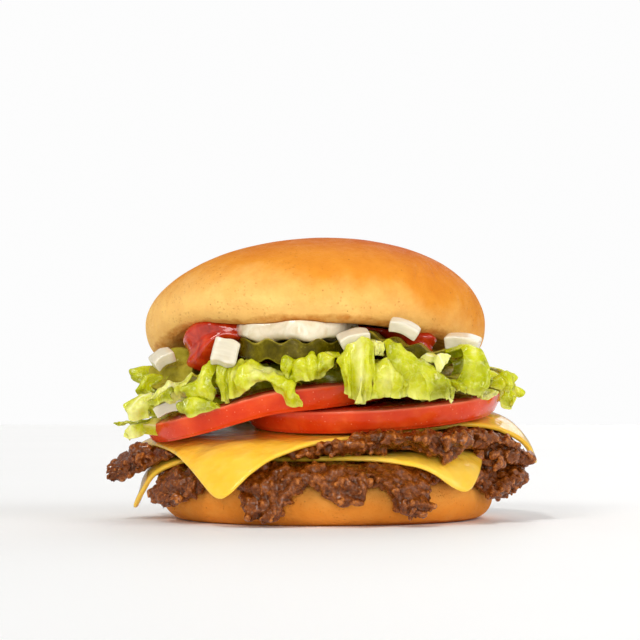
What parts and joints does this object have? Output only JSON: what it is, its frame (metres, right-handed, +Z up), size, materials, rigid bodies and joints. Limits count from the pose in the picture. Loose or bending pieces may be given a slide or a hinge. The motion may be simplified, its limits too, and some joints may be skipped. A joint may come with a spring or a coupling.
{
  "type": "double cheeseburger",
  "caption": "Stacked cheeseburger: soft bun, thin ragged beef patties under draped cheese slices, tomato, lettuce, pickles, onion, ketchup and mayonnaise, crown tilted back.",
  "frame": {"origin": "centre of the bottom bun's flat underside, where the burger rests", "axes": "+Z up through the stack; +X to the right as the burger is seen from its front; the front, where the filling shows most, faces -Y"},
  "size_m": [0.1365, 0.1211, 0.0897],
  "materials": {
    "crust": "soft satin baked crust, golden at the sides and orange-brown on top",
    "beef": "rough browned crumbly meat with wet highlights",
    "cheese": "smooth melted cheese slice, slightly translucent",
    "tomato": "wet red flesh and glossy speckled skin",
    "lettuce": "thin wavy yellow-green leaf with pale veins",
    "pickle": "wet olive crinkle-cut slice, paler on its faces",
    "onion": "wet translucent white dice",
    "ketchup": "glossy thick red sauce",
    "mayonnaise": "soft glossy cream-white sauce"
  },
  "bodies": {
    "root": {"heel": "crust", "patty_lower": "beef", "cheese_lower": "cheese", "patty_upper": "beef", "cheese_upper": "cheese", "tomato_right": "tomato", "tomato_left": "tomato", "lettuce": "lettuce", "pickle_1": "pickle", "pickle_2": "pickle", "pickle_3": "pickle", "pickle_4": "pickle", "pickle_5": "pickle", "pickle_6": "pickle", "onion_1": "onion", "onion_2": "onion", "onion_3": "onion", "onion_4": "onion", "onion_5": "onion", "onion_6": "onion", "onion_7": "onion", "onion_8": "onion", "ketchup": "ketchup", "mayonnaise": "mayonnaise", "crown": "crust"}
  },
  "joints": []
}
